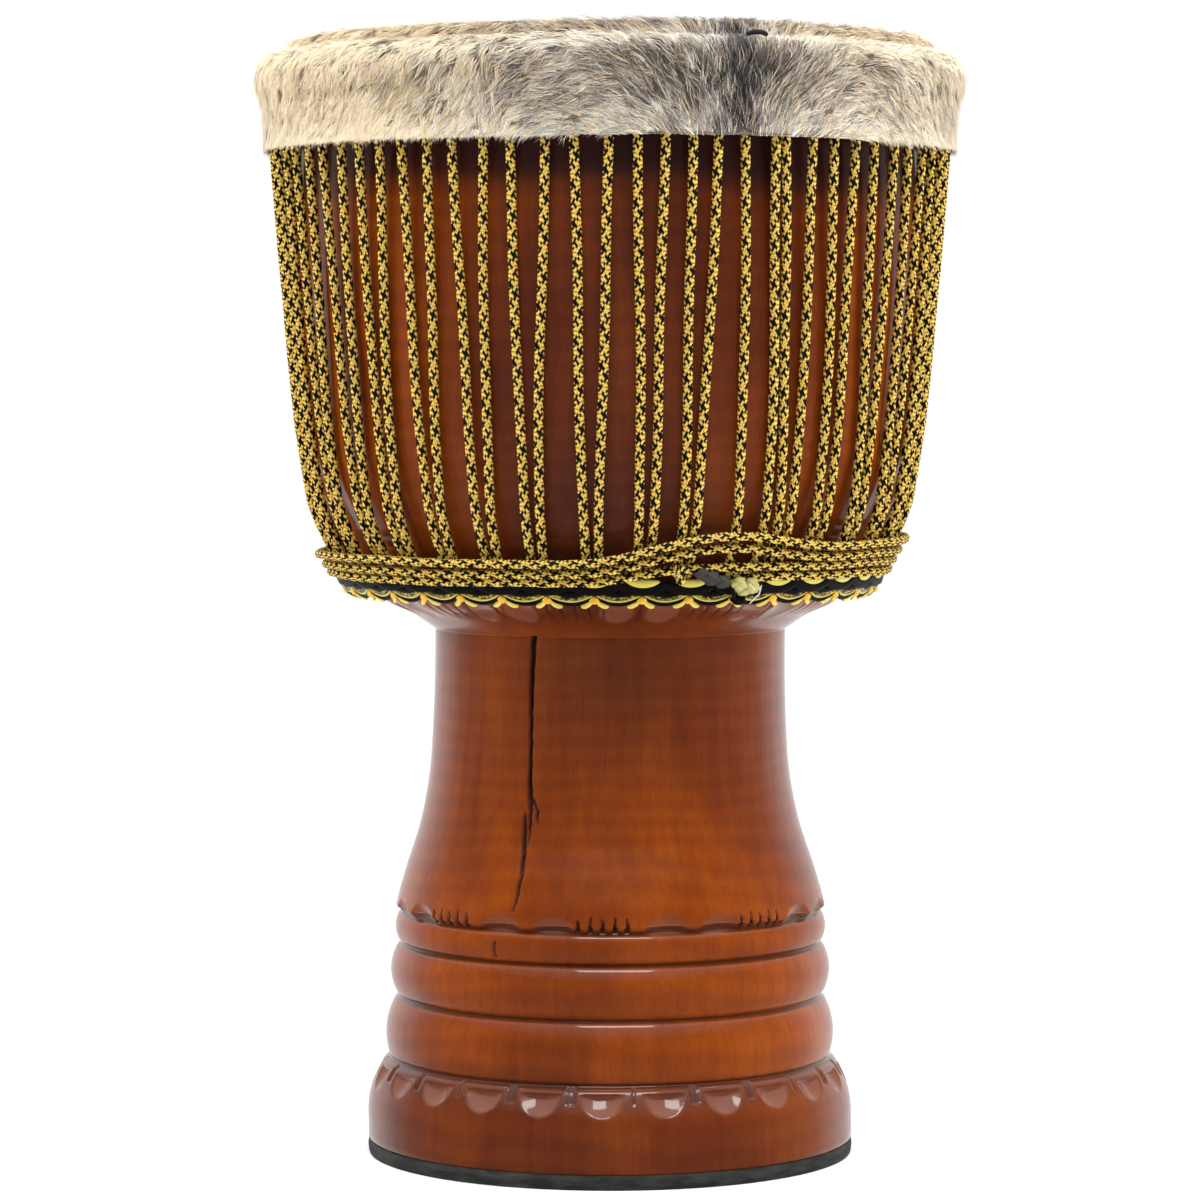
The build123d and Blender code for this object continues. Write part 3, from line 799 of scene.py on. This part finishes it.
add_cords("upper_swag_cords", "upper_swags", [
    (*swag_row(0.0, 3.2, (150.8, 319.8), (151.4, 320.9), 4.4, 2.4, 0.75), lime_cord),
    (*swag_row(0.0, 5.0, (148.4, 315.8), (149.4, 319.0), 5.2, 3.0, 0.0), black_cord),
    (*swag_row(0.5, 4.2, (147.0, 314.2), (147.4, 316.0), 3.6, 2.6, 0.2), black_cord)])
add_cords("lower_swag_cords", "lower_swags", [
    (*swag_row(0.5, 4.6, (144.8, 310.4), (147.4, 313.8), 1.3, 2.0, 0.45), lime_cord),
    (*swag_row(0.5, 4.1, (146.0, 312.0), (147.6, 314.2), 2.8, 2.4, 0.6), speckled_cord),
    (*swag_row(0.5, 4.8, (143.4, 308.9), (146.6, 313.0), 2.5, 2.6, 0.35), black_cord)])
add_cords("bottom_loop_cords", "bottom_loops", [
    (*knots(), orange_cord),
    (*fishtails(), pale_cord)])

# the wound rope's last end: taped, melted into a blob, with loose threads
add_cords("taped_rope_end", "rope_end", [
    (*joined([lump(156.4, 17.6, 325.2, (3.0, 4.2, 3.2), 1.5),
              lump(156.8, 19.4, 322.6, (3.2, 4.6, 3.8), 1.7),
              lump(156.0, 21.8, 320.6, (3.0, 4.4, 3.4), 1.6)]), grey_tape),
    (*joined([lump(155.2, 25.4, 319.2, (4.0, 4.0, 3.8), 1.6),
              lump(154.8, 28.2, 318.2, (3.6, 4.4, 4.2), 1.8),
              lump(153.6, 26.6, 315.6, (3.2, 3.6, 2.6), 1.5)]), melted_cord),
    (*joined([lump(150.2, 26.4, 310.8, (2.6, 4.2, 2.8), 1.4),
              strand([(155.0, 23.2, 320.5), (155.5, 24.2, 315.0), (151.5, 25.2, 311.0)],
                     2.0, 2.0)]), black_cord),
    (*joined([strand([(157.6, 29.9, 318.5), (156.8, 29.6, 314.0), (153.0, 28.2, 308.6)], 0.6, 0.6),
              strand([(158.6, 27.0, 319.4), (158.4, 28.4, 316.4)], 0.5, 0.5)]), white_thread)])
# a short tail of the rope hangs beside it
braid("hanging_braid", "rope_end",
      polar(np.linspace(157.6, 152.6, 12), FRONT + np.linspace(13.0, 13.9, 12),
            np.linspace(330.0, 319.6, 12)))

# ---- CAD pieces that keep their shape --------------------
for node, look in (("foot_rubber", rubber), ("flesh_ring", black_steel),
                   ("crown_ring", black_steel), ("bottom_ring", black_steel),
                   ("crown_loops", orange_cord)):
    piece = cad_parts[node]
    piece.data.materials.clear()
    piece.data.materials.append(look)

# ---- goat skin -------------------------------------------
BARE_R = 167.0          # the head is shaved as far as this
HIDE_COLUMNS = 360
COLLAR_R = 190.0


def hide_face():
    """Outer face of the hide from the drum's axis out and down to the cut edge."""
    return np.vstack([
        line((0.5, 609.3), (166.0, 609.3), 24),
        curve([(166.0, 609.3), (171.6, 608.4), (174.8, 605.8), (176.6, 602.4), (178.6, 599.6),
               (182.0, 599.0), (186.0, 599.6), (190.4, 597.0), (192.9, 591.6), (192.7, 584.0),
               (190.8, 577.0), (189.6, 571.0), (189.2, 566.0), (189.0, 550.4)], 1.6),
        np.array([(189.0, 550.4)]),
    ])


def make_hide():
    """The skin itself, bare on the head and the ground for the hair elsewhere."""
    cut_edge = np.array([(188.6, 550.0), (187.8, 550.0), (187.8, 566.0), (189.4, 577.0)])
    outline = np.vstack([hide_face(), cut_edge])
    hairy = np.repeat(outline[:-1, 0] > BARE_R, HIDE_COLUMNS)
    return new_mesh("hide", turned_points(outline, HIDE_COLUMNS),
                    grid_faces(len(outline), HIDE_COLUMNS), [bare_hide, hair_ground], pick=hairy)


def ground_material():
    """Skin between the hairs: tan to grey, darker in patches."""
    made, tree, shader = material("hair_ground", Roughness=0.7)
    patch = noise(tree, (30, 30, 30), 3.0)
    tree.links.new(ramp(tree, patch, [(0.35, (0.08, 0.06, 0.042)), (0.65, (0.24, 0.18, 0.12))]),
                   shader.inputs["Base Color"])
    relief(tree, shader, noise(tree, (700,) * 3, 3.0), 0.5, 0.001)
    return made


hair_ground = ground_material()
hide = make_hide()
root_piece(hide, "goatskin", "goatskin")

# hair tones: the cool ones from black to white, then the warm ones
COOL_TONES = 6
WARM_TONES = 5
TONES = [(0.014, 0.013, 0.013), (0.060, 0.055, 0.052), (0.170, 0.148, 0.130), (0.36, 0.325, 0.285),
         (0.60, 0.555, 0.49), (0.86, 0.82, 0.73), (0.15, 0.095, 0.052), (0.36, 0.25, 0.14),
         (0.60, 0.45, 0.27), (0.80, 0.63, 0.40), (0.93, 0.80, 0.56)]
hairs = [plain("hair_%02d" % number, tone, 0.45, Sheen_Weight=0.15)
         for number, tone in enumerate(TONES)]

# which way the hair's tips point, from the right towards up, at angles from the front
LIE = np.array([(-180, -90), (-150, -95), (-110, -106), (-80, -120), (-60, -125), (-35, -125),
                (-22, -120), (-17.6, -110), (-15, -145), (-5, -177), (3, -210), (10, -232),
                (16, -256), (20.5, -270), (24, -282), (30, -302), (36, -325), (41, -352),
                (50, -388), (60, -405), (75, -418), (110, -435), (180, -450)], dtype=float)
# share of dark hair, and of warm hair, at angles from the front
COAT = np.array([(-180, 0.24, 0.7), (-120, 0.20, 0.9), (-75, 0.18, 0.95), (-50, 0.20, 0.9),
                 (-34, 0.26, 0.8), (-24, 0.33, 0.6), (-12, 0.42, 0.35), (2, 0.47, 0.3),
                 (10, 0.54, 0.2), (16, 0.60, 0.1), (19, 0.72, 0.1), (22.5, 0.72, 0.1),
                 (26, 0.56, 0.2), (34, 0.46, 0.4), (46, 0.42, 0.5), (60, 0.36, 0.6),
                 (80, 0.28, 0.8), (130, 0.22, 0.9), (180, 0.24, 0.7)])


# how far the hair stands off the skin, at heights
LOFT = ((550, 566, 572, 584, 597, 601, 609), (0.9, 1.1, 1.7, 2.4, 2.4, 2.8, 2.6))
HAIRS_PER_TUFT = 14
HAIR_COUNT = 150000
SECTORS = 4             # the coat is one object for each quarter of the collar


def smooth_field(angle, height, seed):
    """A gentle repeatable wander over the coat, between about -1 and 1."""
    return (np.sin(angle * 0.31 + height * 0.09 + seed)
            + np.sin(angle * 0.83 - height * 0.21 + 2.1 * seed)
            + np.sin(angle * 1.9 + height * 0.35 + 0.7 * seed)) / 3


def hair_surface():
    """The hide's line up from the cut edge to the rim: distances, points and normals."""
    outline = hide_face()
    outline = outline[outline[:, 0] > BARE_R + 1.0][::-1]
    along = directions(outline)
    return distances(outline), outline, np.stack([along[:, 1], -along[:, 0]], axis=-1)


def make_hair(count, shortest, longest):
    """Where each hair stands, its own shade, and its points as a flat tapering blade.

    Hairs come in tufts that lie and curl the same way and draw together at their tips."""
    reach, outline, normal = hair_surface()
    tufts = count // HAIRS_PER_TUFT
    tuft = seeded.integers(0, tufts, count)
    tuft_angle = seeded.uniform(-180, 180, tufts)[tuft]
    # some tufts stand right at the cut edge, to cover it
    low_tuft = seeded.random(tufts) < 0.14
    tuft_start = seeded.uniform(-1.0, np.where(low_tuft, 2.5, reach[-1]), tufts)[tuft]
    around = seeded.normal(0, 1.5, count)
    along = seeded.normal(0, 1.5, count)
    shade = seeded.normal(0, 0.07, tufts)[tuft]
    angle = tuft_angle + np.degrees(around / COLLAR_R)
    start = tuft_start + along
    kept = (start > -0.9) & (start < reach[-1])
    tuft, tuft_angle, around, along = tuft[kept], tuft_angle[kept], around[kept], along[kept]
    angle, start, shade = angle[kept], start[kept], shade[kept]
    count = len(start)
    height = np.interp(start, reach, outline[:, 1])
    lie = np.interp(turned(tuft_angle, 0.0), LIE[:, 0], LIE[:, 1])
    top = unit((height - 590.0) / 8.0)
    lie = lie + 14 * smooth_field(tuft_angle, height, 1.0) - 18 * top * np.sin(np.radians(lie * 2))
    lie = lie + seeded.normal(0, 9, tufts)[tuft] + seeded.normal(0, 4.5, count)
    length = seeded.uniform(shortest, longest, count) * (1 - 0.25 * top)
    up = np.sin(np.radians(lie))
    # the coat was cut with the hide, so hair that points down stops near its edge
    overhang = np.where(seeded.random(count) < 0.012, 4.5, seeded.uniform(0.3, 1.8, count))
    room = (start + overhang) / np.maximum(-up, 0.05)
    length = np.where(up < -0.05, np.minimum(length, room), length)
    length = np.clip(length, 1.5, None)
    curl = seeded.normal(0, 14, tufts)[tuft]
    loft = np.interp(height, *LOFT)
    loft = loft * seeded.uniform(0.5, 1.05, tufts)[tuft] * seeded.uniform(0.4, 1.0, count)
    half_width = seeded.uniform(0.12, 0.22, count)
    spots = []
    for share in (0.0, 0.4, 0.75, 1.0):
        way = np.radians(lie + curl * share)
        gather = 0.65 * share
        s = start - along * gather + length * share * np.sin(way)
        r = np.interp(s, reach, outline[:, 0])
        z = np.interp(s, reach, outline[:, 1]) + np.minimum(s, 0)
        nr = np.interp(s, reach, normal[:, 0])
        nz = np.interp(s, reach, normal[:, 1])
        raised = loft * math.sin(min(share * 1.5, 1.0) * math.pi / 2) - 0.15 * (share == 0)
        turn = angle + FRONT + np.degrees((length * share * np.cos(way) - around * gather) / r)
        centre = polar(r + nr * raised, turn, z + nz * raised)
        cos, sin = np.cos(np.radians(turn)), np.sin(np.radians(turn))
        tangent = np.stack([-sin, cos, 0 * turn], axis=-1)
        slope = np.stack([-nz * cos, -nz * sin, nr], axis=-1)
        square = -tangent * np.sin(way)[:, None] + slope * np.cos(way)[:, None]
        spread = square * (half_width * (1 - share) ** 0.6)[:, None]
        spots += [centre] if share == 1.0 else [centre - spread, centre + spread]
    points = np.stack(spots, axis=1)
    blade = np.array([[0, 1, 3], [0, 3, 2], [2, 3, 5], [2, 5, 4], [4, 5, 6]])
    return turned(angle, 0.0), height, shade, points, blade


def pick_tones(angle, height, shade):
    """A tone for each hair from the coat's patches, painted shade and light, its tuft and chance.
    """
    dark = np.interp(angle, COAT[:, 0], COAT[:, 1])
    warm = np.interp(angle, COAT[:, 0], COAT[:, 2])
    crease_shade = np.exp(-((height - 580.0) / 6.0) ** 2)
    stripe = np.exp(-((angle - 20.7) / 2.3) ** 2)
    # painted shade in the crease under the collar's roll, on the left
    dark = dark + 0.22 * crease_shade * np.exp(-((angle + 45) / 22) ** 2)
    dark = dark + 0.16 * smooth_field(angle, height, 4.0) * (dark > 0.15)
    # painted light: hair on top of the roll lightened, except at the black stripe
    dark = dark - 0.30 * (height > 593) * (height < 602) * (1 - stripe)
    dark = dark - 0.16 * (height < 562) * (1 - stripe)
    warm = warm + 0.35 * (height > 600)
    dark = dark + 0.12 * (height > 602.5)
    chance = np.clip(1 - dark + shade + seeded.normal(0, 0.19, len(angle)), 0, 0.999)
    cool = (chance * COOL_TONES).astype(int)
    warm_tone = COOL_TONES + (chance * WARM_TONES).astype(int)
    black = (seeded.random(len(angle)) < stripe * 0.55) & (height < 604)
    tone = np.where(seeded.random(len(angle)) < warm, warm_tone, cool)
    return np.where(black, 0, tone)


hair_angle, hair_height, hair_shade, hair_points, hair_blade = make_hair(
    HAIR_COUNT, 8.0, 13.0)
hair_tone = pick_tones(hair_angle, hair_height, hair_shade)
for sector in range(SECTORS):
    inside = np.floor((hair_angle + 180) / 360 * SECTORS).astype(int) == sector
    chosen = hair_points[inside]
    coat = new_mesh("goat_hair_%d" % (sector + 1), chosen.reshape(-1, 3),
                    repeated(hair_blade, len(chosen), chosen.shape[1]), hairs,
                    pick=np.repeat(hair_tone[inside], len(hair_blade)))
    root_piece(coat, "goatskin")

# a black thread shows on top of the collar
stitch = new_mesh("black_stitch",
                  *strand([(186.4, 21.8, 601.4), (187.2, 22.8, 602.6), (187.2, 24.4, 602.5),
                           (186.6, 25.3, 601.2)], 2.8, 2.0), [black_thread])
root_piece(stitch, "stitch_thread", "stitch_thread")

# ---- floor, light and camera -----------------------------
FLOOR_HALF = 4000.0
BACKDROP_R = 9000.0
BACKDROP_COLUMNS = 48

floor_look = material("pale_floor", (0.95, 0.95, 0.95), Roughness=0.8)[0]
floor_corners = FLOOR_HALF * np.array([(-1, -1, 0), (1, -1, 0), (1, 1, 0), (-1, 1, 0)])
floor = new_mesh("floor", floor_corners, np.array([[0, 1, 2, 3]]), [floor_look])
floor.visible_glossy = False

# a round white backdrop beyond the floor, which lights and darkens nothing
backdrop_look = material("white_backdrop", (0, 0, 0), Emission_Color=(1, 1, 1, 1),
                         Emission_Strength=1.0, Specular_IOR_Level=0.0)[0]
backdrop_side = [(1.0, -5.0), (BACKDROP_R, -5.0), (BACKDROP_R, BACKDROP_R)]
backdrop = new_mesh("backdrop", turned_points(backdrop_side, BACKDROP_COLUMNS),
                    grid_faces(len(backdrop_side), BACKDROP_COLUMNS), [backdrop_look],
                    smooth=False)
backdrop.visible_diffuse = False
backdrop.visible_glossy = False
backdrop.visible_transmission = False
backdrop.visible_shadow = False

world = bpy.data.worlds.new("studio")
world.use_nodes = True
world_tree = world.node_tree
sky_place = world_tree.nodes.new("ShaderNodeTexCoord")
sky_axes = world_tree.nodes.new("ShaderNodeSeparateXYZ")
world_tree.links.new(sky_place.outputs["Generated"], sky_axes.inputs[0])
# the wall on the drum's front side is dim, the ceiling and the back wall are bright
to_back = maths(world_tree, "MULTIPLY_ADD", sky_axes.outputs["Y"], 0.5, 0.5)
walls = ramp(world_tree, to_back, [(0.05, (0.10, 0.10, 0.10)), (0.45, (0.14, 0.14, 0.13)),
                                   (0.66, (0.34, 0.34, 0.31)), (0.84, (1.0, 1.0, 1.0))])
ceiling = ramp(world_tree, sky_axes.outputs["Z"], [(0.45, (0, 0, 0)), (0.85, (1.0, 1.0, 1.0))])
walls = mix(world_tree, ceiling, walls, (1.5, 1.5, 1.5))
world_tree.links.new(walls, world_tree.nodes["Background"].inputs["Color"])
world_tree.nodes["Background"].inputs["Strength"].default_value = 1.0
bpy.context.scene.world = world


def softbox(name, place, aim, size, power, mirrored):
    """A rectangular area light aimed at a point; where it is mirrored, the varnish shows it.

    Places and sizes are in metres, and power is in watts."""
    light = bpy.data.lights.new(name, "AREA")
    light.shape = "RECTANGLE"
    light.size, light.size_y = size
    light.energy = power
    lamp = bpy.data.objects.new(name, light)
    lamp.location = place
    lamp.visible_glossy = mirrored
    way = np.array(place) - np.array(aim)
    lamp.rotation_euler = (math.atan2(math.hypot(way[0], way[1]), way[2]), 0,
                           math.atan2(way[1], way[0]) + math.pi / 2)
    bpy.context.collection.objects.link(lamp)


softbox("right", (1.9, -0.35, 0.8), (0, 0, 0.2), (0.8, 1.7), 25, False)
softbox("left", (-1.9, -0.3, 0.9), (0, 0, 0.3), (0.6, 1.5), 21, False)
softbox("top", (0.1, -1.3, 2.4), (0, 0, 0.4), (1.4, 0.6), 32, True)
softbox("overhead", (0.0, 0.5, 2.6), (0, 0, 0.3), (2.6, 0.35), 18, True)

camera_data = bpy.data.cameras.new("camera")
camera_data.lens = 136.5
camera_data.sensor_width = 36.0
camera_data.clip_end = 30.0
camera = bpy.data.objects.new("camera", camera_data)
camera.location = (-0.0055, -2.5025, 0.4304)
looks_down = 2.894
camera.rotation_euler = (math.radians(90.0 - looks_down), 0, 0)
bpy.context.collection.objects.link(camera)
bpy.context.scene.camera = camera
bpy.context.scene.view_settings.view_transform = "Standard"
